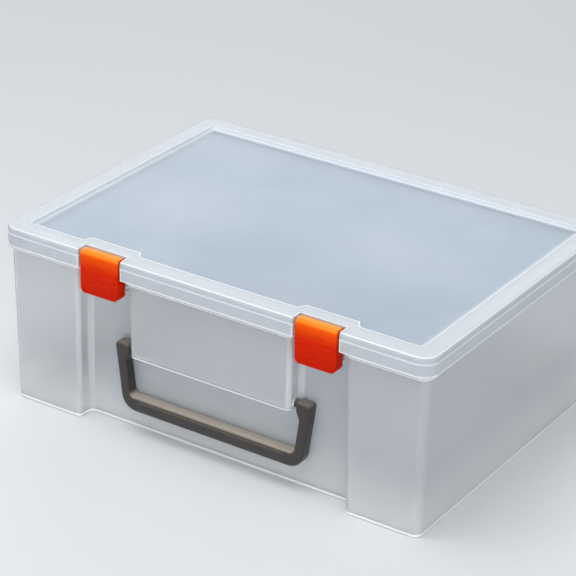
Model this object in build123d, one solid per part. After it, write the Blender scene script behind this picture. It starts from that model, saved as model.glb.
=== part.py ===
"""Plastic storage case: a thin-walled tub, a hinged lid, two snap latches and a carrying handle.

X runs along the front from left to right, Y from front to back, and Z up from the surface
that the case stands on. All sizes are in millimetres.
"""
import os
from math import cos, radians, tan

from build123d import *

os.makedirs("parts", exist_ok=True)

# Whole case, measured over the closed lid
case_length = 370.0
case_depth = 267.0
case_height = 145.5

# Lid
lid_corner_radius = 13.0
lid_edge_radius = 2.6
lid_skirt_height = 15.0
lid_skirt_wall = 2.0
lid_top_wall = 2.0
lid_rim_width = 15.6
lid_panel_drop = 3.0
lid_panel_wall = 1.8
lid_panel_corner_radius = 3.0

# The rim's inner edge steps back behind each latch
jog_depth = 6.6
jog_front_half_width = 25.6
jog_back_half_width = 21.9
jog_corner_radius = 1.6

# Notch in the lid for each latch, lined with its own thin wall
notch_half_width = 19.2
notch_depth = 9.9
notch_wall = 1.5

# Tub
tub_wall = 1.8
tub_floor = 2.4
tub_corner_radius = 6.5
lid_overhang = 4.2
draft_angle = 0.87
tub_foot_bevel = 1.4
tub_inside_slope = 2.0
foot_width = 14.0
foot_height = 0.8

# Ledge that the lid's skirt stands on, and the rim that the skirt goes over
seat_gap = 0.3
ledge_reach = 3.5
ledge_edge = 1.4
ledge_slope = 2.0
rim_set_out = 1.2
rim_wall = 1.8
rim_height = 9.8

# Recess across the front and the hollow boss in its middle
recess_depth = 14.2
recess_half_width = 116.2
recess_corner_radius = 5.0
block_edge_radius = 4.2
boss_half_width = 71.2
boss_bottom = 67.6

# Catch under each latch
catch_half_width = 13.0
catch_shelf_wall = 2.5
catch_lip_wall = 1.8
catch_lip_drop = 8.2
catch_reach = 15.3
catch_rib_wall = 1.5
catch_rib_drop = 16.0
catch_rib_count = 3

# Latches
latch_half_width = 16.9
latch_height = 33.5
latch_wall = 1.8
latch_top_wall = 2.2
latch_sink = 0.2
latch_edge_radius = 3.5
latch_corner_radius = 4.0
latch_heel_bevel = 3.0
latch_lip_gap = 0.2
latch_lip_height = 2.6
latch_lip_rise = 1.3
latch_lip_bevel = 0.8
latch_bar_radius = 1.6
latch_barrel_wall = 1.22
latch_back_gap = 0.3
latch_cheek_gap = 0.75
hook_half_spacing = 9.5
hook_width = 6.0
hook_mouth = 2.7
cheek_clearance = 4.4

# Running clearance round every pin and bar
pin_clearance = 0.08

# Cuts run this far past what they cut, and no rounded corner is tighter than this
overcut = 1.0
least_radius = 0.3

# Handle
handle_outer_half_width = 86.2
handle_lean = 7.6
handle_arm_width = 8.0
handle_depth = 10.7
handle_grip_height = 11.8
handle_drop = 50.6
handle_head_rise = 3.4
handle_pad_half_width = 73.3
handle_pad_height = 7.5
handle_bevel_height = 6.5
handle_corner_radius = 13.0
handle_inner_radius = 4.0
handle_head_radius = 2.8
handle_edge_radius = 1.8
handle_back_bevel = 2.0
handle_wall_gap = 0.45
handle_pivot_height = 71.6
handle_pin_radius = 2.0
handle_pin_engagement = 3.9
handle_pin_root = 2.0
handle_collar_radius = 3.3
handle_collar_gap = 0.3
bearing_ring_radius = 3.9
bearing_ring_height = 0.5
bearing_ring_length = 4.4
grip_pad_length = 131.0
grip_pad_height = 6.2
grip_pad_thickness = 0.5

# Snap hinges along the back
hinge_offset = 91.0
hinge_pivot_reach = 3.5
hinge_pivot_drop = 1.5
hinge_pin_radius = 2.0
hinge_hook_radius = 3.6
hinge_hook_width = 20.0
hinge_hook_mouth = 3.3
hinge_side_gap = 0.4
hinge_ear_radius = 3.5
hinge_ear_wall = 3.0
hinge_ear_drop = 13.0
hinge_arm_height = 7.0

# Places that follow from the sizes above
skirt_bottom = case_height - lid_skirt_height
ledge_top = skirt_bottom - seat_gap
ledge_bottom = ledge_top - ledge_edge - ledge_slope
rim_top = ledge_top + rim_height
tub_half_length = case_length / 2 - lid_overhang
tub_half_depth = case_depth / 2 - lid_overhang
rim_to_skirt = lid_overhang - lid_skirt_wall - rim_set_out
rim_corner_radius = lid_corner_radius - lid_skirt_wall - rim_to_skirt
latch_offset = (boss_half_width + recess_half_width) / 2
front_face = -case_depth / 2
notch_back = front_face + notch_depth
back_face = case_depth / 2


def set_back(z):
    """Distance that the draft moves a wall in at height z, measured from the ledge's top."""
    return (ledge_top - z) * tan(radians(draft_angle))


def recess_wall_y(z):
    return -(tub_half_depth - recess_depth - set_back(z))


def tub_corners(z, inset, with_boss, outer_radius=tub_corner_radius):
    """Corners of the tub's outline at height z, moved in by inset, each with its radius."""
    move = set_back(z) + inset
    right = tub_half_length - move
    back = tub_half_depth - move
    front = -back
    recess_y = front + recess_depth
    recess_x = recess_half_width + move
    boss_x = boss_half_width - move
    corner = max(outer_radius - inset, least_radius)
    edge = max(block_edge_radius - inset, least_radius)
    hollow = recess_corner_radius + inset
    half = [((right, back), corner), ((right, front), corner), ((recess_x, front), edge)]
    half.append(((recess_x, recess_y), hollow))
    if with_boss:
        half.append(((boss_x, recess_y), hollow))
        half.append(((boss_x, front), edge))
    mirrored = [((-x, y), radius) for (x, y), radius in reversed(half)]
    return half + mirrored


def tub_block(z_low, z_high, inset, with_boss):
    """Solid between two heights whose walls are drafted and whose upright edges are rounded."""
    corners = tub_corners(z_high, inset, with_boss)
    outline = make_face(Polyline(*[(x, y, z_low) for (x, y), _ in corners], close=True))
    body = extrude(outline, amount=z_high - z_low)
    walls = body.faces().filter_by(Axis.Z, reverse=True)
    body = draft(walls, Plane.XY.offset(z_high), -draft_angle)
    for radius in sorted({radius for _, radius in corners}):
        places = [Vector(x, y, z_high) for (x, y), corner_radius in corners if corner_radius == radius]
        upright = []
        for edge in body.edges():
            ends = edge.vertices().sort_by(Axis.Z)
            rise = ends[-1].Z - ends[0].Z
            nearest = min((ends[-1].center() - place).length for place in places)
            if rise > overcut and nearest < least_radius:
                upright.append(edge)
        body = fillet(upright, radius)
    return body


def tub_ring(z_low, z_high, set_out, outer_radius=tub_corner_radius):
    """Upright solid that follows the tub's outline at ledge height, set out from its surface."""
    corners = tub_corners(ledge_top, -set_out, True, outer_radius)
    points = [(x, y, z_low) for (x, y), _ in corners]
    radii = [radius for _, radius in corners]
    outline = make_face(FilletPolyline(*points, radius=radii, close=True))
    return extrude(outline, amount=z_high - z_low)


def x_cylinder(radius, x_low, x_high, y, z):
    """Round bar along X between two ends."""
    middle = (x_low + x_high) / 2
    return Pos(middle, y, z) * Rot(0, 90, 0) * Cylinder(radius, x_high - x_low)


def block(x_low, x_high, y_low, y_high, z_low, z_high):
    """Box given by its limits."""
    centre = Pos((x_low + x_high) / 2, (y_low + y_high) / 2, (z_low + z_high) / 2)
    return centre * Box(x_high - x_low, y_high - y_low, z_high - z_low)


def x_slab(points, x_low, x_high):
    """Flat plate across X, with its outline given as (y, z) points."""
    outline = make_face(Polyline(*[(x_low, y, z) for y, z in points], close=True))
    return extrude(outline, amount=x_high - x_low, dir=(1, 0, 0))


# Handle axis
handle_pivot_y = recess_wall_y(handle_pivot_height) - handle_wall_gap - handle_depth / 2
boss_side_x = boss_half_width - set_back(handle_pivot_height)
bearing_face_x = boss_side_x + bearing_ring_height

# Latch axis
latch_barrel_radius = latch_bar_radius + pin_clearance + latch_barrel_wall
latch_pivot_y = notch_back - latch_back_gap - latch_barrel_radius
latch_top = case_height - latch_sink
latch_pivot_z = latch_top - latch_barrel_radius
latch_bottom = latch_top - latch_height

# Catch
catch_front = recess_wall_y(ledge_top) - catch_reach
catch_lip_bottom = ledge_top - catch_shelf_wall - catch_lip_drop

# Lid hinge axis
hinge_pivot_y = back_face + hinge_pivot_reach
hinge_pivot_z = skirt_bottom - hinge_pivot_drop
hinge_ear_inner = hinge_hook_width / 2 + hinge_side_gap


def make_catch():
    """Shelf with a turned-down lip, carried by ribs, that the latch closes round."""
    wall_y = recess_wall_y(ledge_top) + tub_wall / 2
    shelf_bottom = ledge_top - catch_shelf_wall
    shelf = block(-catch_half_width, catch_half_width, catch_front, wall_y, shelf_bottom, ledge_top)
    lip_back = catch_front + catch_lip_wall
    lip = block(-catch_half_width, catch_half_width, catch_front, lip_back, catch_lip_bottom, ledge_top)
    catch = shelf + lip
    rib_points = [(lip_back - catch_lip_wall / 2, shelf_bottom + catch_shelf_wall / 2)]
    rib_points.append((wall_y, shelf_bottom + catch_shelf_wall / 2))
    rib_points.append((wall_y, shelf_bottom - catch_rib_drop))
    rib_points.append((lip_back - catch_lip_wall / 2, catch_lip_bottom + catch_lip_wall))
    span = 2 * catch_half_width - catch_rib_wall
    for index in range(catch_rib_count):
        x = -span / 2 + span * index / (catch_rib_count - 1)
        catch += x_slab(rib_points, x - catch_rib_wall / 2, x + catch_rib_wall / 2)
    return catch


def make_hinge_ear(x_low):
    """Ear on the tub's back wall that holds one end of the hinge pin."""
    root = tub_half_depth - set_back(ledge_bottom - hinge_ear_drop) - tub_wall / 2
    top = ledge_top - seat_gap
    points = [(root, top), (hinge_pivot_y, top), (hinge_pivot_y, hinge_pivot_z - hinge_ear_radius)]
    points.append((root, ledge_top - hinge_ear_drop))
    plate = x_slab(points, x_low, x_low + hinge_ear_wall)
    eye = x_cylinder(hinge_ear_radius, x_low, x_low + hinge_ear_wall, hinge_pivot_y, hinge_pivot_z)
    return plate + eye


def make_tub():
    lower = tub_block(0, boss_bottom, 0, False)
    upper = tub_block(boss_bottom, ledge_top, 0, True)
    body = lower + upper
    foot_edges = body.edges().group_by(Axis.Z)[0]
    body = chamfer(foot_edges, tub_foot_bevel)
    ledge = tub_ring(ledge_bottom, ledge_top, ledge_reach)
    ledge = chamfer(ledge.edges().group_by(Axis.Z)[0], ledge_slope)
    rim_radius = rim_corner_radius - rim_set_out
    rim = tub_ring(ledge_bottom, rim_top, rim_set_out, rim_radius)
    body += ledge + rim

    # Inside of the tub, a smaller copy of the same drafted forms
    room_low = tub_block(tub_floor, boss_bottom + tub_wall, tub_wall, False)
    slope = min(tub_inside_slope, block_edge_radius - tub_wall - least_radius)
    room_low = chamfer(room_low.edges().group_by(Axis.Z)[0], slope)
    room_high = tub_block(boss_bottom + tub_wall, ledge_top - ledge_edge, tub_wall, True)
    room_out = rim_set_out - rim_wall
    room_rim = tub_ring(ledge_top - ledge_edge, rim_top + overcut, room_out, rim_radius)
    body -= room_low + room_high + room_rim

    # Shallow hollow under the floor leaves a foot along the edges
    hollow_inset = set_back(0) + foot_width
    hollow_size = (2 * (tub_half_length - hollow_inset), 2 * (tub_half_depth - recess_depth - hollow_inset))
    hollow = extrude(RectangleRounded(*hollow_size, recess_corner_radius), amount=foot_height)
    body -= hollow

    # Bearings for the handle's pins in the boss's side walls
    for side in (-1, 1):
        ring_start = bearing_face_x - bearing_ring_length
        ring_ends = sorted((side * ring_start, side * bearing_face_x))
        body += x_cylinder(bearing_ring_radius, *ring_ends, handle_pivot_y, handle_pivot_height)
        hole_ends = sorted((side * (ring_start - overcut), side * (bearing_face_x + overcut)))
        hole_radius = handle_pin_radius + pin_clearance
        body -= x_cylinder(hole_radius, *hole_ends, handle_pivot_y, handle_pivot_height)

    # Catches in front, hinge ears with their pins behind
    catch = make_catch()
    for side in (-1, 1):
        body += Pos(side * latch_offset, 0, 0) * catch
    ear_low = make_hinge_ear(-hinge_ear_inner - hinge_ear_wall)
    ear_high = make_hinge_ear(hinge_ear_inner)
    pin_end = hinge_ear_inner + hinge_ear_wall / 2
    pin = x_cylinder(hinge_pin_radius, -pin_end, pin_end, hinge_pivot_y, hinge_pivot_z)
    hinge = ear_low + ear_high + pin
    for side in (-1, 1):
        body += Pos(side * hinge_offset, 0, 0) * hinge
    return body


def panel_outline(z, set_out):
    """Outline of the lid's sunk panel, set out from its edge, which steps back behind each latch."""
    right = case_length / 2 - lid_rim_width
    back = case_depth / 2 - lid_rim_width
    front = -back
    step = front + jog_depth
    half = [((right, back), lid_panel_corner_radius), ((right, front), lid_panel_corner_radius)]
    half.append(((latch_offset + jog_front_half_width, front), jog_corner_radius))
    half.append(((latch_offset + jog_back_half_width, step), jog_corner_radius))
    half.append(((latch_offset - jog_back_half_width, step), jog_corner_radius))
    half.append(((latch_offset - jog_front_half_width, front), jog_corner_radius))
    mirrored = [((-x, y), radius) for (x, y), radius in reversed(half)]
    ring = half + mirrored
    points = [(x, y, z) for (x, y), _ in ring]
    radii = [radius for _, radius in ring]
    face = make_face(FilletPolyline(*points, radius=radii, close=True))
    if set_out == 0:
        return face
    return offset(face, amount=set_out)


def make_hinge_hook():
    """C-shaped hook that snaps over the tub's hinge pin, with its arm up to the skirt."""
    half = hinge_hook_width / 2
    hook = x_cylinder(hinge_hook_radius, -half, half, hinge_pivot_y, hinge_pivot_z)
    arm_inside = back_face - lid_skirt_wall / 2
    points = [(arm_inside, skirt_bottom), (arm_inside, skirt_bottom + hinge_arm_height)]
    points.append((back_face, skirt_bottom + hinge_arm_height))
    points.append((hinge_pivot_y + hinge_hook_radius, hinge_pivot_z))
    points.append((hinge_pivot_y, hinge_pivot_z))
    hook += x_slab(points, -half, half)
    bore_radius = hinge_pin_radius + pin_clearance
    hook -= x_cylinder(bore_radius, -half, half, hinge_pivot_y, hinge_pivot_z)
    mouth_low = hinge_pivot_z - hinge_hook_radius - overcut
    mouth_half = hinge_hook_mouth / 2
    mouth_ends = (hinge_pivot_y - mouth_half, hinge_pivot_y + mouth_half)
    hook -= block(-half, half, *mouth_ends, mouth_low, hinge_pivot_z)
    return hook


def make_lid():
    outer = RectangleRounded(case_length, case_depth, lid_corner_radius)
    body = extrude(Pos(0, 0, skirt_bottom) * outer, amount=lid_skirt_height)
    body = fillet(body.edges().group_by(Axis.Z)[-1], lid_edge_radius)
    inner_length = case_length - 2 * lid_skirt_wall
    inner_depth = case_depth - 2 * lid_skirt_wall
    inner = RectangleRounded(inner_length, inner_depth, lid_corner_radius - lid_skirt_wall)
    hollow_height = lid_skirt_height - lid_top_wall
    body -= extrude(Pos(0, 0, skirt_bottom) * inner, amount=hollow_height)

    # Sunk panel with its step wall
    panel_top = case_height - lid_panel_drop
    tray_bottom = panel_top - lid_panel_wall
    tray_height = case_height - lid_top_wall / 2 - tray_bottom
    body += extrude(panel_outline(tray_bottom, lid_top_wall), amount=tray_height)
    body -= extrude(panel_outline(panel_top, 0), amount=lid_panel_drop + overcut)

    # Notches with their walls and the bars that the latches turn on
    lined_top = case_height - lid_top_wall / 2
    for side in (-1, 1):
        x = side * latch_offset
        lined = notch_half_width + notch_wall
        skirt_middle = front_face + lid_skirt_wall / 2
        lining_back = notch_back + notch_wall
        body += block(x - lined, x + lined, skirt_middle, lining_back, skirt_bottom, lined_top)
        notch_front = front_face - overcut
        notch_ends = (x - notch_half_width, x + notch_half_width)
        notch_heights = (skirt_bottom - overcut, case_height + overcut)
        body -= block(*notch_ends, notch_front, notch_back, *notch_heights)
        bar_half = notch_half_width + notch_wall / 2
        body += x_cylinder(latch_bar_radius, x - bar_half, x + bar_half, latch_pivot_y, latch_pivot_z)
    hook = make_hinge_hook()
    for side in (-1, 1):
        body += Pos(side * hinge_offset, 0, 0) * hook
    return body


def make_latch(x):
    """Box-shaped snap latch, open behind and below, that hangs on the bar in the lid's notch."""
    cheek_back = notch_back - latch_cheek_gap
    half = latch_half_width
    shell = block(-half, half, front_face, cheek_back, latch_bottom, latch_top)
    side_edges = shell.edges().filter_by(Axis.Y).group_by(Axis.Z)[0]
    shell = fillet(side_edges, latch_corner_radius)
    front_top = shell.edges().filter_by(Axis.X).group_by(Axis.Z)[-1].sort_by(Axis.Y)[0]
    shell = fillet(front_top, latch_edge_radius)
    room_half = half - latch_wall
    room_low = latch_bottom - overcut
    room_high = latch_top - latch_top_wall
    room_front = front_face + latch_wall
    room = block(-room_half, room_half, room_front, cheek_back + overcut, room_low, room_high)
    room_top = room.edges().filter_by(Axis.X).group_by(Axis.Z)[-1].sort_by(Axis.Y)[0]
    room = fillet(room_top, latch_edge_radius - latch_wall)
    shell -= room
    heel_points = [(cheek_back + overcut, latch_bottom - overcut)]
    heel_points.append((cheek_back + overcut, latch_bottom + latch_heel_bevel + overcut))
    heel_points.append((cheek_back - latch_heel_bevel - overcut, latch_bottom - overcut))
    shell -= x_slab(heel_points, -half, half)

    # The cheeks stop below the bar, and the top ends in a barrel round it
    cheek_top = latch_pivot_z - cheek_clearance
    barrel_front = latch_pivot_y - latch_barrel_radius
    past_end = half + overcut
    past_back = cheek_back + overcut
    cut_front = barrel_front + latch_barrel_wall / 2
    shell -= block(-past_end, past_end, cut_front, past_back, cheek_top, latch_top + overcut)
    barrel = x_cylinder(latch_barrel_radius, -half, half, latch_pivot_y, latch_pivot_z)
    barrel_back = latch_pivot_y + latch_barrel_radius
    barrel_low = latch_pivot_z - latch_barrel_radius
    barrel -= block(-half, half, barrel_front, barrel_back, barrel_low, latch_pivot_z)
    roof_front = barrel_front - latch_wall
    roof = block(-half, half, roof_front, latch_pivot_y, latch_top - latch_top_wall, latch_top)
    shell += barrel + roof

    # Two hooks hold the bar
    for side in (-1, 1):
        centre = side * hook_half_spacing
        ends = (centre - hook_width / 2, centre + hook_width / 2)
        hook = x_cylinder(latch_barrel_radius, *ends, latch_pivot_y, latch_pivot_z)
        mouth_ends = (latch_pivot_y - hook_mouth / 2, latch_pivot_y + hook_mouth / 2)
        web_front = room_front - latch_wall / 2
        web_top = latch_top - latch_top_wall / 2
        hook += block(*ends, web_front, mouth_ends[0], barrel_low, web_top)
        hook -= block(*ends, *mouth_ends, barrel_low - overcut, latch_pivot_z)
        shell += hook
    bore_radius = latch_bar_radius + pin_clearance
    shell -= x_cylinder(bore_radius, -past_end, past_end, latch_pivot_y, latch_pivot_z)

    # Lip that closes just in front of the catch
    lip_tip = catch_front - latch_lip_gap
    lip_top = catch_lip_bottom + latch_lip_rise
    lip_low = lip_top - latch_lip_height
    lip_root = room_front - latch_wall / 2
    lip_points = [(lip_root, lip_top), (room_front, lip_top), (lip_tip, lip_top - latch_lip_bevel)]
    lip_points.append((lip_tip, lip_low + latch_lip_bevel))
    lip_points.append((room_front, lip_low))
    lip_points.append((lip_root, lip_low))
    lip_half = room_half + latch_wall / 2
    shell += x_slab(lip_points, -lip_half, lip_half)
    return Pos(x, 0, 0) * shell


def make_handle():
    """U-shaped handle that hangs on two pins pointing inwards."""
    top = handle_pivot_height + handle_head_rise
    bottom = handle_pivot_height - handle_drop
    lean = tan(radians(handle_lean))
    arm = handle_arm_width / cos(radians(handle_lean))

    def outer_x(z):
        return handle_outer_half_width - (top - z) * lean

    grip_top = bottom + handle_grip_height
    pad_bottom = top - handle_pad_height
    bevel_bottom = pad_bottom - handle_bevel_height
    half = [((outer_x(bottom), bottom), handle_corner_radius), ((outer_x(top), top), handle_head_radius)]
    half.append(((handle_pad_half_width, top), handle_head_radius))
    half.append(((handle_pad_half_width, pad_bottom), handle_head_radius))
    half.append(((outer_x(bevel_bottom) - arm, bevel_bottom), handle_head_radius))
    half.append(((outer_x(grip_top) - arm, grip_top), handle_inner_radius))
    mirrored = [((-x, z), radius) for (x, z), radius in reversed(half)]
    ring = half + mirrored
    y_front = handle_pivot_y - handle_depth / 2
    points = [(x, y_front, z) for (x, z), _ in ring]
    radii = [radius for _, radius in ring]
    outline = make_face(FilletPolyline(*points, radius=radii, close=True))
    body = extrude(outline, amount=handle_depth, dir=(0, 1, 0))
    body = fillet(body.edges().group_by(Axis.Y)[0], handle_edge_radius)
    body = chamfer(body.edges().group_by(Axis.Y)[-1], handle_back_bevel)

    # Raised pad along the front of the grip
    pad_plane = Plane((0, y_front, bottom + handle_grip_height / 2), x_dir=(1, 0, 0), z_dir=(0, -1, 0))
    pad = extrude(pad_plane * SlotOverall(grip_pad_length, grip_pad_height), amount=grip_pad_thickness, both=True)
    body += pad

    # Collars and pins
    collar_face = bearing_face_x + handle_collar_gap
    pin_tip = bearing_face_x - handle_pin_engagement
    for side in (-1, 1):
        root = handle_pad_half_width + handle_pin_root
        collar = sorted((side * collar_face, side * root))
        body += x_cylinder(handle_collar_radius, *collar, handle_pivot_y, handle_pivot_height)
        pin = sorted((side * pin_tip, side * root))
        body += x_cylinder(handle_pin_radius, *pin, handle_pivot_y, handle_pivot_height)
    return body


# The origin is the middle of the space that the whole case covers, on the surface below it
back_reach = hinge_pivot_y + hinge_hook_radius
to_origin = Pos(0, -(front_face + back_reach) / 2, 0)
print("case centre to origin along Y:", (front_face + back_reach) / 2)
print("lid hinge axis:", hinge_pivot_y, hinge_pivot_z)
print("latch axis:", latch_offset, latch_pivot_y, latch_pivot_z)
print("handle axis:", handle_pivot_y, handle_pivot_height)

nodes = {
    "tub": make_tub(),
    "lid": make_lid(),
    "latch_left": make_latch(-latch_offset),
    "latch_right": make_latch(latch_offset),
    "handle": make_handle(),
}
for name, shape in nodes.items():
    export_step(to_origin * shape, "parts/" + name + ".step")
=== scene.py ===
# %% [markdown]
# A translucent storage case
#
# The case is five plastic mouldings: a tub, a lid, two latches and a carrying handle. Their shapes
# come from the CAD model, which is loaded here as a fixed frame. So this script has two jobs: it
# gives each moulding a plastic that looks like the real one, and it sets up a floor, soft light and
# a camera.

# %% [markdown]
# The CAD frame
#
# A finish is all that these objects get here, since a better shape belongs in the CAD source.

# %% Load the frame
import math

import bmesh
import bpy
from mathutils import Matrix, Vector


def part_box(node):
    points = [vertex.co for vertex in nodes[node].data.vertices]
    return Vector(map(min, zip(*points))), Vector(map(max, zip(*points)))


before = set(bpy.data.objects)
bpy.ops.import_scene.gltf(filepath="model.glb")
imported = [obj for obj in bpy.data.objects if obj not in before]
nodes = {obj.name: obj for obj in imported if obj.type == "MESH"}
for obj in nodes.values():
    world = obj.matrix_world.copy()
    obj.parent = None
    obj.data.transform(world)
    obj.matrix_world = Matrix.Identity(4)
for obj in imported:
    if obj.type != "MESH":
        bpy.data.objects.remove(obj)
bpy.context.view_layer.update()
for name, node in nodes.items():
    print("node", name, "has", len(node.data.polygons), "faces and slots", node.material_slots.keys())

# %% [markdown]
# Colours
#
# Colours are picked as sRGB hex values, as in a paint program, but shaders work in linear
# light. One function turns the first into the second, by the curve that the sRGB standard gives.

# %% From sRGB hex to linear light
def linear(hex_colour):
    """Linear RGBA of an sRGB hex colour such as "#BECBD7"."""
    channels = [int(hex_colour[i:i + 2], 16) / 255 for i in (1, 3, 5)]
    lit = [c / 12.92 if c <= 0.04045 else ((c + 0.055) / 1.055) ** 2.4 for c in channels]
    return (*lit, 1.0)


print("mid grey #808080 reflects", round(linear("#808080")[0], 3), "of the light")

# %% [markdown]
# Nodes
#
# A material is a network of nodes. One function adds a node with its settings and its links, so
# that a material reads from top to bottom like a recipe. Three kinds of node do most of the work:
#
# - A Map Range makes a mask. It goes from 0 where its value is From Min to 1 where it is From Max,
#   in either direction. To Min and To Max, where they are given, stand in for that 0 and 1.
# - A Math node joins two masks, which are its inputs 0 and 1. MULTIPLY keeps the places that both
#   name, and MAXIMUM the places that either names.
# - A Mix node paints by a mask. Input 6 is the colour where the mask is 0, and 7 where it is 1.

# %% Adding nodes
def add(owner, kind, links=None, **settings):
    """Adds a node. links maps an input's name or number to a value, an output or another node,
    whose first output in use is then taken."""
    tree = owner.node_tree
    node = tree.nodes.new(kind)
    for key, value in settings.items():
        setattr(node, key, value)
    for key, value in (links or {}).items():
        if isinstance(value, bpy.types.Node):
            value = next(socket for socket in value.outputs if socket.enabled)
        if isinstance(value, bpy.types.NodeSocket):
            tree.links.new(value, node.inputs[key])
        else:
            node.inputs[key].default_value = value
    return node


def new_material(name):
    """A material with no nodes yet."""
    material = bpy.data.materials.new(name)
    material.use_nodes = True
    material.node_tree.nodes.clear()
    return material


# %% [markdown]
# Lengths that the finishes follow
#
# Some of the whiteness sits at a definite place, such as the lid's rim or the tub's foot. The masks
# for it need a few lengths. What can be measured on the loaded lid is measured, and the rest
# repeat lengths of the CAD model. The one exception is the tub's rim, which stands 5.5 mm under the
# lid's top: it shows through best as a line a tenth of a millimetre lower.

# %% Lengths of the case
mm = 0.001
rim_width = 15.6 * mm
rim_front_to_middle = 133.5 * mm
panel_drop = 3.0 * mm
lid_edge_radius = 2.6 * mm
tub_rim_line_depth = 5.6 * mm
floor_wall = 2.4 * mm
recess_half_width = 116.2 * mm
latch_height = 33.5 * mm
lid_low, lid_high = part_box("lid")
lid_top = lid_high.z
lid_middle = lid_low.y + rim_front_to_middle
panel_half_length = lid_high.x - rim_width
panel_half_depth = rim_front_to_middle - rim_width
print("the lid's top is at", round(lid_top / mm, 1), "mm, and its sunk panel measures",
      round(2 * panel_half_length / mm, 1), "by", round(2 * panel_half_depth / mm, 1), "mm")

# %% [markdown]
# White edges on milky plastic
#
# Where the plastic bends, the eye looks through more of it and light caught in the wall comes out,
# so every edge of the real case is drawn in white. Here that white is painted, partly the plastic's
# own milkiness and partly a painted highlight and glow. Painting the edges by hand would need a UV
# map, but the surface tells where they are. A rounding's normal points between two main directions,
# and so gives it away. An edge that is too crisp for that shows up by a Bevel node, which turns the
# normal as a rounded edge would: the edge is where the turned normal and the real one disagree.
#
# The masks read where a point is on its moulding, and the face's normal without its sign. The
# normal's height tells a face's tilt: it is 0 on a wall and 1 on a level face.

# %% Tilts of faces
walls_only = {"From Min": 0.3, "From Max": 0.2}
upright_faces = {"From Min": 0.5, "From Max": 0.3}
level_faces = {"From Min": 0.9, "From Max": 0.99}
flat_faces_only = {"From Min": 0.97, "From Max": 0.995}
rounded_or_upright = {"From Min": 0.99, "From Max": 0.9}
tilt_softness = 0.2
print("a face counts as a wall while its normal rises less than",
      round(math.degrees(math.asin(walls_only["From Max"])), 1), "degrees")


# %% Roundings between upright and level faces
def level_roundings(material, facing, white, starts_at):
    """White where the face has turned away from the wall, and not yet where it is level."""
    off_the_wall = add(material, "ShaderNodeMapRange", {
        "Value": facing.outputs["Z"], "From Min": starts_at, "From Max": starts_at + tilt_softness})
    not_level = add(material, "ShaderNodeMapRange", {
        "Value": facing.outputs["Z"], "From Min": 0.99, "From Max": 0.88, "To Max": white})
    return add(material, "ShaderNodeMath", {0: off_the_wall, 1: not_level}, operation="MULTIPLY")


# %% Roundings between two walls
recess_edge_reach = 2 * mm


def upright_roundings(material, spot, facing, white):
    """White round the recess, where walls stand close together, and a tenth of it elsewhere."""
    from_middle = add(material, "ShaderNodeMath", {0: spot.outputs["X"]}, operation="ABSOLUTE")
    how_white = add(material, "ShaderNodeMapRange", {
        "Value": from_middle, "From Min": recess_half_width + 3 * recess_edge_reach,
        "From Max": recess_half_width + recess_edge_reach, "To Min": 0.1 * white, "To Max": white})
    # A wall faces along X or along Y, and only a corner faces both ways
    both_ways = add(material, "ShaderNodeMath", {
        0: facing.outputs["X"], 1: facing.outputs["Y"]}, operation="MULTIPLY")
    corner = add(material, "ShaderNodeMapRange", {
        "Value": both_ways, "From Min": 0.08, "From Max": 0.40})
    return add(material, "ShaderNodeMath", {0: corner, 1: how_white}, operation="MULTIPLY")


# %% Crisp edges
def crisp_edges(material, spot, facing, radius):
    """White within a radius of each crisp edge, but not on the lid's outer rounding, where it
    would draw a second line beside the one that the rounding has."""
    eased = add(material, "ShaderNodeBevel", {"Radius": radius}, samples=8)
    real = add(material, "ShaderNodeNewGeometry")
    agreement = add(material, "ShaderNodeVectorMath", {
        0: eased, 1: real.outputs["Normal"]}, operation="DOT_PRODUCT")
    edge = add(material, "ShaderNodeMapRange", {
        "Value": agreement, "From Min": 0.997, "From Max": 0.92})
    wall = add(material, "ShaderNodeMapRange", {"Value": facing.outputs["Z"], **walls_only})
    under_rounding = add(material, "ShaderNodeMapRange", {
        "Value": spot.outputs["Z"], "From Min": lid_top - 1.5 * lid_edge_radius,
        "From Max": lid_top - 1.9 * lid_edge_radius})
    plain_wall = add(material, "ShaderNodeMath", {0: wall, 1: under_rounding}, operation="MULTIPLY")
    flat = add(material, "ShaderNodeMapRange", {"Value": facing.outputs["Z"], **flat_faces_only})
    plain = add(material, "ShaderNodeMath", {0: flat, 1: plain_wall}, operation="MAXIMUM")
    return add(material, "ShaderNodeMath", {0: edge, 1: plain}, operation="MULTIPLY")


# %% [markdown]
# Translucent polypropylene
#
# The tub and the lid are natural polypropylene, injection moulded. It is milky: part of the light
# goes through the wall, scattered, and part comes back from inside it, so things behind it show
# soft and pale. A volume would give that exactly, but slowly. Here a Principled shader lets a share
# of the light through over a pale base, which looks the same on thin walls.
#
# Its index of refraction is 1.25 instead of polypropylene's 1.49, because a wall is the two shells
# of a thin solid, and light that bends more is lost between them and turns the edges black. The
# roughness is that of a polished mould, a soft gloss.
#
# Two patterns keep it from looking too even. A faint cloudiness, about as wide as a hand, is left
# by the plastic as it flowed. The fine waviness of a moulded wall, about half a millimetre on the
# real case, is drawn at 2.2 mm, because a pixel of the render is about 0.8 mm wide.

# %% The milky plastic
flow_cloud_width = 110 * mm
drawn_wave_width = 2.2 * mm


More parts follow.
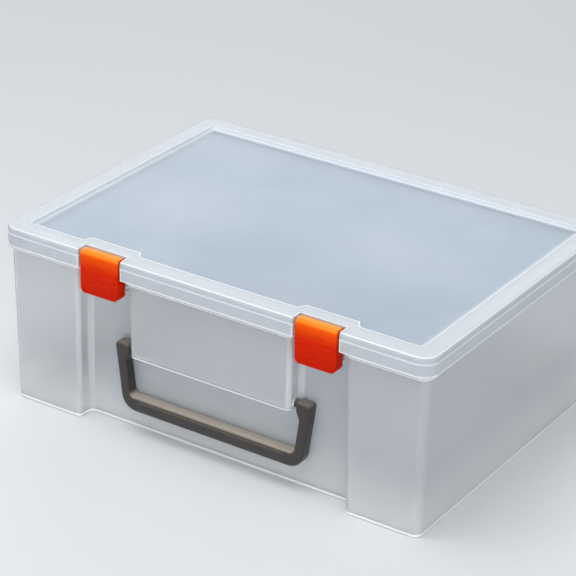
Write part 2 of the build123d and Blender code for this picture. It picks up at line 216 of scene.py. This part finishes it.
def translucent_polypropylene(name, clear, white, clearness, level_white, level_from,
                              upright_white, crisp_radius, marks):
    """clear and white are the two colours, and clearness is the share of light that plain walls let
    through. The next four say how the edges look. marks is a function that gives two more masks
    for this moulding: how white a place is, and how cloudy."""
    material = new_material(name)
    place = add(material, "ShaderNodeTexCoord")
    spot = add(material, "ShaderNodeSeparateXYZ", {0: place.outputs["Object"]})
    unsigned = add(material, "ShaderNodeVectorMath", {0: place.outputs["Normal"]}, operation="ABSOLUTE")
    facing = add(material, "ShaderNodeSeparateXYZ", {0: unsigned})

    # The outline is partly the plastic's milkiness and partly a painted highlight and glow on the edges
    outline = level_roundings(material, facing, level_white, level_from)
    for mask in (upright_roundings(material, spot, facing, upright_white),
                 crisp_edges(material, spot, facing, crisp_radius)):
        outline = add(material, "ShaderNodeMath", {0: outline, 1: mask}, operation="MAXIMUM")
    cloud = add(material, "ShaderNodeTexNoise", {
        "Vector": place.outputs["Object"], "Scale": 1 / flow_cloud_width, "Detail": 2.0})
    flow = add(material, "ShaderNodeMapRange", {
        "Value": cloud, "From Min": 0.3, "From Max": 0.7, "To Max": 0.25})
    whiter, cloudier = marks(material, spot, facing)

    whiteness = outline
    for mask in (flow, whiter):
        whiteness = add(material, "ShaderNodeMath", {0: whiteness, 1: mask}, operation="MAXIMUM")
    colour = add(material, "ShaderNodeMix", {
        "Factor": whiteness, 6: linear(clear), 7: linear(white)}, data_type="RGBA")
    cloudiness = add(material, "ShaderNodeMath", {0: outline, 1: cloudier}, operation="MAXIMUM")
    see_through = add(material, "ShaderNodeMapRange", {
        "Value": cloudiness, "To Min": clearness, "To Max": 0.0})

    waves = add(material, "ShaderNodeTexNoise", {
        "Vector": place.outputs["Object"], "Scale": 1 / drawn_wave_width, "Detail": 3.0})
    wavy = add(material, "ShaderNodeBump", {"Height": waves, "Strength": 0.08, "Distance": 0.1 * mm})
    plastic = add(material, "ShaderNodeBsdfPrincipled", {
        "Base Color": colour, "Roughness": 0.18, "IOR": 1.25, "Specular IOR Level": 0.2,
        "Transmission Weight": see_through, "Normal": wavy})
    add(material, "ShaderNodeOutputMaterial", {"Surface": plastic})
    print(material.name, "has", len(material.node_tree.nodes), "nodes")
    return material


# %% [markdown]
# The tub's plastic
#
# On the tub three places are milkier than the walls. The floor is thicker than they are. The foot,
# where they meet it, is a bright line on the real case, drawn as a painted glow of light carried in
# the plastic. And the walls grow whiter towards the foot, a painted glow of the light that they pick
# up from the surface that the case stands on. All three follow the height over that surface, so
# masks by height do what would otherwise take a painted texture.

# %% Marks on the tub
plate_height = 5 * mm
rise_height = 60 * mm


def floor_and_foot(material, spot, facing):
    """How white and how cloudy the tub is at its floor, at its foot and up its walls."""
    height = spot.outputs["Z"]
    low = add(material, "ShaderNodeMapRange", {
        "Value": height, "From Min": plate_height + 1 * mm, "From Max": plate_height})
    level = add(material, "ShaderNodeMapRange", {"Value": facing.outputs["Z"], **level_faces})
    plate = add(material, "ShaderNodeMath", {0: level, 1: low}, operation="MULTIPLY")
    plate_cloud = add(material, "ShaderNodeMapRange", {"Value": plate, "To Max": 0.5})

    # The foot is a painted glow: a white line where the walls meet the floor
    at_the_bottom = add(material, "ShaderNodeMapRange", {
        "Value": height, "From Min": 1.5 * floor_wall, "From Max": 1.2 * floor_wall})
    not_level = add(material, "ShaderNodeMapRange", {"Value": facing.outputs["Z"], **rounded_or_upright})
    foot = add(material, "ShaderNodeMath", {0: at_the_bottom, 1: not_level}, operation="MULTIPLY")
    # Painted glow of light from the surface below, whiter towards the foot
    painted_floor_glow = add(material, "ShaderNodeMapRange", {
        "Value": height, "From Min": rise_height, "From Max": 0.0, "To Max": 0.35},
        interpolation_type="SMOOTHSTEP")

    whiter = add(material, "ShaderNodeMath", {0: foot, 1: painted_floor_glow}, operation="MAXIMUM")
    cloudier = add(material, "ShaderNodeMath", {0: whiter, 1: plate_cloud}, operation="MAXIMUM")
    return whiter, cloudier


tub_plastic = translucent_polypropylene(
    "translucent polypropylene, moulded tub", clear="#F3F5F7", white="#FFFFFF", clearness=0.72,
    level_white=0.8, level_from=0.12, upright_white=0.3, crisp_radius=2.6 * mm, marks=floor_and_foot)

# %% [markdown]
# The lid's plastic
#
# The lid has a sunk panel, a rim round it and a skirt that hangs over the tub. Its plastic is a
# little bluer. The tub's own rim stands close behind the lid's, so the whole of rim and skirt
# looks whiter than the panel. Three things come on top of that:
#
# - the small step from the rim down to the panel, seen nearly edge on, is quite white
# - a pale border runs along the panel's edge, where the step shows through it
# - a soft line runs along the skirt, where the tub's top edge stands behind it
#
# The lid is so plain in outline that a point's distance from the lid's middle and its height say
# which of these it belongs to, so no UV map is needed.

# %% The rim and the skirt
soft_edge = 1 * mm


def off_the_panel(material, height, across, along):
    """1 on the rim and the skirt, and 0 on the sunk panel."""
    beside = add(material, "ShaderNodeMapRange", {
        "Value": across, "From Min": panel_half_length - soft_edge, "From Max": panel_half_length})
    before = add(material, "ShaderNodeMapRange", {
        "Value": along, "From Min": panel_half_depth - soft_edge, "From Max": panel_half_depth})
    above = add(material, "ShaderNodeMapRange", {
        "Value": height, "From Min": lid_top - 0.97 * panel_drop,
        "From Max": lid_top - 0.8 * panel_drop})
    around = add(material, "ShaderNodeMath", {0: beside, 1: before}, operation="MAXIMUM")
    return add(material, "ShaderNodeMath", {0: around, 1: above}, operation="MAXIMUM")


# %% The step down to the panel
step_reach = 3 * mm


def panel_step(material, height, across, along, upright):
    """1 on the step, and 0 on the skirt, which is upright too but stands further out."""
    inside = add(material, "ShaderNodeMapRange", {
        "Value": across, "From Min": panel_half_length + 2 * step_reach,
        "From Max": panel_half_length + step_reach})
    within = add(material, "ShaderNodeMapRange", {
        "Value": along, "From Min": panel_half_depth + 2 * step_reach,
        "From Max": panel_half_depth + step_reach})
    high = add(material, "ShaderNodeMapRange", {
        "Value": height, "From Min": lid_top - 1.2 * panel_drop, "From Max": lid_top - panel_drop})
    step = upright
    for mask in (inside, within, high):
        step = add(material, "ShaderNodeMath", {0: step, 1: mask}, operation="MULTIPLY")
    return step


# %% The pale border of the panel
border_width = 6 * mm


def panel_border(material, height, across, along, tilt):
    """White up to 0.6 on the panel's last few millimetres."""
    beside = add(material, "ShaderNodeMapRange", {
        "Value": across, "From Min": panel_half_length - border_width,
        "From Max": panel_half_length - soft_edge})
    before = add(material, "ShaderNodeMapRange", {
        "Value": along, "From Min": panel_half_depth - border_width,
        "From Max": panel_half_depth - soft_edge})
    sunk = add(material, "ShaderNodeMapRange", {
        "Value": height, "From Min": lid_top - 0.5 * panel_drop, "From Max": lid_top - 0.9 * panel_drop})
    level = add(material, "ShaderNodeMapRange", {
        "Value": tilt, "From Min": 0.8, "From Max": 0.95, "To Max": 0.6})
    border = add(material, "ShaderNodeMath", {0: beside, 1: before}, operation="MAXIMUM")
    for mask in (sunk, level):
        border = add(material, "ShaderNodeMath", {0: border, 1: mask}, operation="MULTIPLY")
    return border


# %% The soft line on the skirt
line_half_width = 1.4 * mm
line_core = 0.2 * mm


def skirt_line(material, height, upright):
    """White up to 0.8 where the tub's top edge stands behind the skirt, and less beside it."""
    below = add(material, "ShaderNodeMath", {
        0: height, 1: lid_top - tub_rim_line_depth}, operation="SUBTRACT")
    away = add(material, "ShaderNodeMath", {0: below}, operation="ABSOLUTE")
    line = add(material, "ShaderNodeMapRange", {
        "Value": away, "From Min": line_half_width, "From Max": line_core, "To Max": 0.8})
    return add(material, "ShaderNodeMath", {0: line, 1: upright}, operation="MULTIPLY")


# %% All marks on the lid
def rim_and_skirt(material, spot, facing):
    """How white and how cloudy the lid is off its panel and along its three lines."""
    height = spot.outputs["Z"]
    across = add(material, "ShaderNodeMath", {0: spot.outputs["X"]}, operation="ABSOLUTE")
    behind = add(material, "ShaderNodeMath", {0: spot.outputs["Y"], 1: lid_middle}, operation="SUBTRACT")
    along = add(material, "ShaderNodeMath", {0: behind}, operation="ABSOLUTE")
    upright = add(material, "ShaderNodeMapRange", {"Value": facing.outputs["Z"], **upright_faces})

    around = off_the_panel(material, height, across, along)
    border = panel_border(material, height, across, along, facing.outputs["Z"])
    line = skirt_line(material, height, upright)
    lines = add(material, "ShaderNodeMath", {0: line, 1: border}, operation="MAXIMUM")

    whitened = add(material, "ShaderNodeMapRange", {"Value": around, "To Max": 0.7})
    whiter = add(material, "ShaderNodeMath", {0: whitened, 1: lines}, operation="MAXIMUM")
    cloudier = add(material, "ShaderNodeMapRange", {"Value": around, "To Max": 0.2})
    for mask in (panel_step(material, height, across, along, upright), lines):
        cloudier = add(material, "ShaderNodeMath", {0: cloudier, 1: mask}, operation="MAXIMUM")
    return whiter, cloudier


# The white on the lid's outer rounding is a narrow painted highlight
lid_plastic = translucent_polypropylene(
    "translucent polypropylene, moulded lid", clear="#C6D6E4", white="#FAFCFF", clearness=0.62,
    level_white=0.85, level_from=0.55, upright_white=0.1, crisp_radius=2.2 * mm, marks=rim_and_skirt)

# %% [markdown]
# Orange polypropylene for the latches
#
# The latches are polypropylene with an orange pigment, injection moulded and nearly opaque. The
# bend at the top is painted a yellow orange, a painted highlight of the light from above, and the
# colour is painted deeper towards the lip. A Principled shader with a little subsurface light lets
# light soak a little way in, and the colours are painted one over the other by height and tilt.
#
# The plastic that filled the mould left faint wavy bands across each latch. They are a noise that
# is 20 mm wide but only 2.4 mm high. Dark bands and thin bright crests are cut from that same
# noise, and so is a slight bump, so that all three stay together.

# %% Orange plastic
band_width = 20 * mm
band_height = 2.4 * mm
crest_level = 0.46


def orange_polypropylene():
    """With a painted highlight at the top bend, and deeper in colour and banded further down."""
    material = new_material("orange polypropylene, moulded")
    place = add(material, "ShaderNodeTexCoord")
    height = add(material, "ShaderNodeSeparateXYZ", {0: place.outputs["Object"]}).outputs["Z"]
    upward = add(material, "ShaderNodeSeparateXYZ", {0: place.outputs["Normal"]}).outputs["Z"]
    stretched = add(material, "ShaderNodeMapping", {
        "Vector": place.outputs["Object"], "Scale": (1 / band_width, 1 / band_width, 1 / band_height)})
    bands = add(material, "ShaderNodeTexNoise", {
        "Vector": stretched, "Scale": 1.0, "Detail": 2.0, "Distortion": 0.5})

    upper = add(material, "ShaderNodeMapRange", {
        "Value": height, "From Min": lid_top - 0.05 * latch_height,
        "From Max": lid_top - 0.4 * latch_height})
    lower = add(material, "ShaderNodeMapRange", {
        "Value": height, "From Min": lid_top - 0.4 * latch_height, "From Max": lid_top - latch_height})
    dark_band = add(material, "ShaderNodeMapRange", {
        "Value": bands, "From Min": 0.50, "From Max": 0.68, "To Max": 0.3})
    past_crest = add(material, "ShaderNodeMath", {0: bands, 1: crest_level}, operation="SUBTRACT")
    off_crest = add(material, "ShaderNodeMath", {0: past_crest}, operation="ABSOLUTE")
    crest = add(material, "ShaderNodeMapRange", {
        "Value": off_crest, "From Min": 0.012, "From Max": 0.0, "To Max": 0.35})
    # The yellow orange on upward faces is a painted highlight of the light from above
    painted_top_highlight = add(material, "ShaderNodeMapRange", {"Value": upward, "From Min": 0.15, "From Max": 0.9})

    colour = linear("#FF5E06")
    for mask, paint in ((upper, "#DC2600"), (lower, "#C61B00"), (dark_band, "#C01C00"),
                        (crest, "#FF5A14"), (painted_top_highlight, "#FF9A2E")):
        colour = add(material, "ShaderNodeMix", {
            "Factor": mask, 6: colour, 7: linear(paint)}, data_type="RGBA")
    banded = add(material, "ShaderNodeBump", {"Height": bands, "Strength": 0.12, "Distance": 0.2 * mm})
    plastic = add(material, "ShaderNodeBsdfPrincipled", {
        "Base Color": colour, "Roughness": 0.33, "IOR": 1.49, "Specular IOR Level": 0.05,
        "Subsurface Weight": 0.15, "Subsurface Radius": (4.0 * mm, 1.2 * mm, 0.4 * mm),
        "Normal": banded})
    add(material, "ShaderNodeOutputMaterial", {"Surface": plastic})
    print(material.name, "has", len(material.node_tree.nodes), "nodes")
    return material


orange_plastic = orange_polypropylene()

# %% [markdown]
# Warm grey polypropylene for the handle
#
# The handle is opaque polypropylene with a warm grey pigment, moulded with a satin surface. Its
# edges catch a broad soft light, which a Bevel node gives without more faces, and the top of the
# grip has a painted sheen, paler than the arms' ends, that stands in for light from above. The
# handle swings, so the mask for that turns the eased normal from the world into the handle's own
# directions, and stays on the grip.
#
# Two patterns break up the grey: a faint cloudiness, two fingers wide, and the mould's fine grain.
# The real grain is about a tenth of a millimetre and too fine to show, so it is drawn at 0.7 mm,
# about a pixel.

# %% Grey plastic
grey_cloud_width = 33 * mm
drawn_grain_width = 0.7 * mm
grip_height = 45 * mm
arms_height = 60 * mm


def grey_polypropylene():
    """Satin and dark, with soft edges and a painted sheen on the top of the grip."""
    material = new_material("warm grey polypropylene, moulded")
    place = add(material, "ShaderNodeTexCoord")
    height = add(material, "ShaderNodeSeparateXYZ", {0: place.outputs["Object"]}).outputs["Z"]
    cloud = add(material, "ShaderNodeTexNoise", {
        "Vector": place.outputs["Object"], "Scale": 1 / grey_cloud_width, "Detail": 2.0})
    grey = add(material, "ShaderNodeMix", {
        "Factor": cloud, 6: linear("#312D2B"), 7: linear("#3B3734")}, data_type="RGBA")

    eased = add(material, "ShaderNodeBevel", {"Radius": 2.2 * mm}, samples=8)
    eased_here = add(material, "ShaderNodeVectorTransform", {"Vector": eased},
                     vector_type="NORMAL", convert_from="WORLD", convert_to="OBJECT")
    upward = add(material, "ShaderNodeSeparateXYZ", {0: eased_here}).outputs["Z"]
    # A paler colour on upward faces of the grip is a painted sheen of light from above, less on the
    # arms' ends
    top = add(material, "ShaderNodeMapRange", {"Value": upward, "From Min": 0.2, "From Max": 1.0})
    grip_share = add(material, "ShaderNodeMapRange", {
        "Value": height, "From Min": arms_height, "From Max": grip_height,
        "To Min": 0.35, "To Max": 1.0})
    painted_grip_sheen = add(material, "ShaderNodeMath", {0: top, 1: grip_share}, operation="MULTIPLY")
    colour = add(material, "ShaderNodeMix", {
        "Factor": painted_grip_sheen, 6: grey, 7: linear("#B5AA9B")}, data_type="RGBA")

    grain = add(material, "ShaderNodeTexNoise", {
        "Vector": place.outputs["Object"], "Scale": 1 / drawn_grain_width, "Detail": 2.0})
    grained = add(material, "ShaderNodeBump", {
        "Height": grain, "Strength": 0.2, "Distance": 0.1 * mm, "Normal": eased})
    plastic = add(material, "ShaderNodeBsdfPrincipled", {
        "Base Color": colour, "Roughness": 0.3, "IOR": 1.49, "Specular IOR Level": 0.5,
        "Normal": grained})
    add(material, "ShaderNodeOutputMaterial", {"Surface": plastic})
    print(material.name, "has", len(material.node_tree.nodes), "nodes")
    return material


grey_plastic = grey_polypropylene()

# %% [markdown]
# The plastics on the mouldings
#
# Each CAD object already has a material slot. Putting another material in the slot changes how the
# moulding looks and leaves its mesh alone. Both latches share one plastic, as the real ones do.

# %% Put the plastics on
finishes = {
    "tub": tub_plastic,
    "lid": lid_plastic,
    "latch_left": orange_plastic,
    "latch_right": orange_plastic,
    "handle": grey_plastic,
}
for name, plastic in finishes.items():
    for slot in nodes[name].material_slots:
        slot.material = plastic
    print(name, "is", plastic.name)

# %% [markdown]
# The floor
#
# The case stands on a large sheet of matt, pale paper, one flat square that ends far out of view.
# A studio would let it curve up behind the case, but that would block the views from the back.
# Far from the lamps the sheet would turn dark, so from 0.7 m on, well past the case's shadow, it
# glows faintly. The glow answers only rays that see it, straight, mirrored or through the plastic,
# so it doesn't work as a lamp.

# %% Pale paper
glow_starts = 0.7
glow_full = 3.0


def pale_paper():
    """Matt and even, and a little brighter far off where it is seen."""
    material = new_material("matt pale paper")
    point = add(material, "ShaderNodeNewGeometry").outputs["Position"]
    distance = add(material, "ShaderNodeVectorMath", {0: point}, operation="LENGTH")
    far = add(material, "ShaderNodeMapRange", {
        "Value": distance, "From Min": glow_starts, "From Max": glow_full, "To Max": 0.55},
        interpolation_type="SMOOTHSTEP")
    ray = add(material, "ShaderNodeLightPath").outputs
    seen = ray["Is Camera Ray"]
    for kind in ("Is Glossy Ray", "Is Transmission Ray"):
        seen = add(material, "ShaderNodeMath", {0: seen, 1: ray[kind]}, operation="MAXIMUM")
    glow = add(material, "ShaderNodeMath", {0: far, 1: seen}, operation="MULTIPLY")
    paper = add(material, "ShaderNodeBsdfPrincipled", {
        "Base Color": linear("#E3E5E8"), "Roughness": 0.8, "Specular IOR Level": 0.2,
        "Emission Color": linear("#E6E9EC"), "Emission Strength": glow})
    add(material, "ShaderNodeOutputMaterial", {"Surface": paper})
    return material


# %% Lay the floor
floor_half_side = 6.0
sheet = bmesh.new()
bmesh.ops.create_grid(sheet, x_segments=1, y_segments=1, size=floor_half_side)
floor_mesh = bpy.data.meshes.new("floor")
sheet.to_mesh(floor_mesh)
sheet.free()
floor_mesh.materials.append(pale_paper())
floor = bpy.data.objects.new("floor", floor_mesh)
bpy.context.scene.collection.objects.link(floor)
print("the floor is", round(floor.dimensions.x, 1), "m square, of", floor_mesh.materials[0].name)

# %% [markdown]
# The lamps
#
# Milky plastic looks best under large soft lamps, because they mirror in it as a smooth sheen and
# not as spots. One hangs above and gives the lid its even light. A broad one to the front and right
# lights the walls. One stands behind, so that light comes through the tub and glances off the rim.
# Each lamp is a rectangle, in metres, that is turned to face a point on the case.

# %% Lamps
lamps = {
    "lamp above": {"at": (-0.1, -0.45, 1.5), "aim": (0, 0, 0.07), "size": (1.3, 0.9), "watts": 15},
    "lamp in front": {"at": (2.05, -2.35, 1.02), "aim": (0.1, 0, 0.05), "size": (3.6, 1.9), "watts": 37},
    "lamp behind": {"at": (-1.8, 2.7, 1.62), "aim": (0, 0, 0.07), "size": (2.5, 1.45), "watts": 26},
}
for name, plan in lamps.items():
    lamp = bpy.data.lights.new(name, "AREA")
    lamp.shape = "RECTANGLE"
    lamp.size, lamp.size_y = plan["size"]
    lamp.energy = plan["watts"]
    holder = bpy.data.objects.new(name, lamp)
    holder.location = plan["at"]
    towards = Vector(plan["aim"]) - Vector(plan["at"])
    holder.rotation_euler = towards.to_track_quat("-Z", "Y").to_euler()
    bpy.context.scene.collection.objects.link(holder)
    print(name, "gives", plan["watts"], "W from", round(towards.length, 2), "m away")

# %% [markdown]
# The room
#
# The world stands for the pale walls of a studio. It fills the shadows with weak light. Where the
# camera looks past the floor it is shown paler, which changes the picture and not the light.

# %% World
room_light = 0.42
room_as_seen = 0.85
world = bpy.data.worlds.new("studio")
world.use_nodes = True
background = world.node_tree.nodes["Background"]
background.inputs["Color"].default_value = linear("#EEF1F5")
ray = add(world, "ShaderNodeLightPath")
strength = add(world, "ShaderNodeMapRange", {
    "Value": ray.outputs["Is Camera Ray"], "To Min": room_light, "To Max": room_as_seen})
world.node_tree.links.new(strength.outputs[0], background.inputs["Strength"])
bpy.context.scene.world = world
print("the room lights with", room_light, "and is shown at", room_as_seen)

# %% [markdown]
# The camera
#
# The camera stands before the right front corner and above the case, far off with a long lens, as
# for a catalogue picture, so that lines which run away from it converge only a little. Its place
# was worked out from the long straight edges in the photograph, which is surer than placing it by
# eye. The rotation is three turns: round the vertical, up from looking straight down, and a lean.

# %% Camera
camera_at = (869.12 * mm, -1371.12 * mm, 889.74 * mm)
azimuth = 32.918
elevation = 26.18
roll = 1.422
camera = bpy.data.cameras.new("camera")
camera.sensor_width = 36.0
camera.lens = 149.29
camera.clip_start = 0.05
turn = Matrix.Rotation(math.radians(azimuth), 4, "Z")
tilt = Matrix.Rotation(math.radians(90 - elevation), 4, "X")
lean = Matrix.Rotation(math.radians(roll), 4, "Z")
camera_object = bpy.data.objects.new("camera", camera)
camera_object.matrix_world = Matrix.Translation(camera_at) @ turn @ tilt @ lean
bpy.context.scene.collection.objects.link(camera_object)
bpy.context.scene.camera = camera_object
print("the camera stands", round(Vector(camera_at).length, 2), "m from the middle of the underside")

# %% [markdown]
# Colour management
#
# Blender's usual view transform softens strong colours. The Standard one shows each colour about as
# it is written, which suits a plain object.

# %% Standard colours
bpy.context.scene.view_settings.view_transform = "Standard"
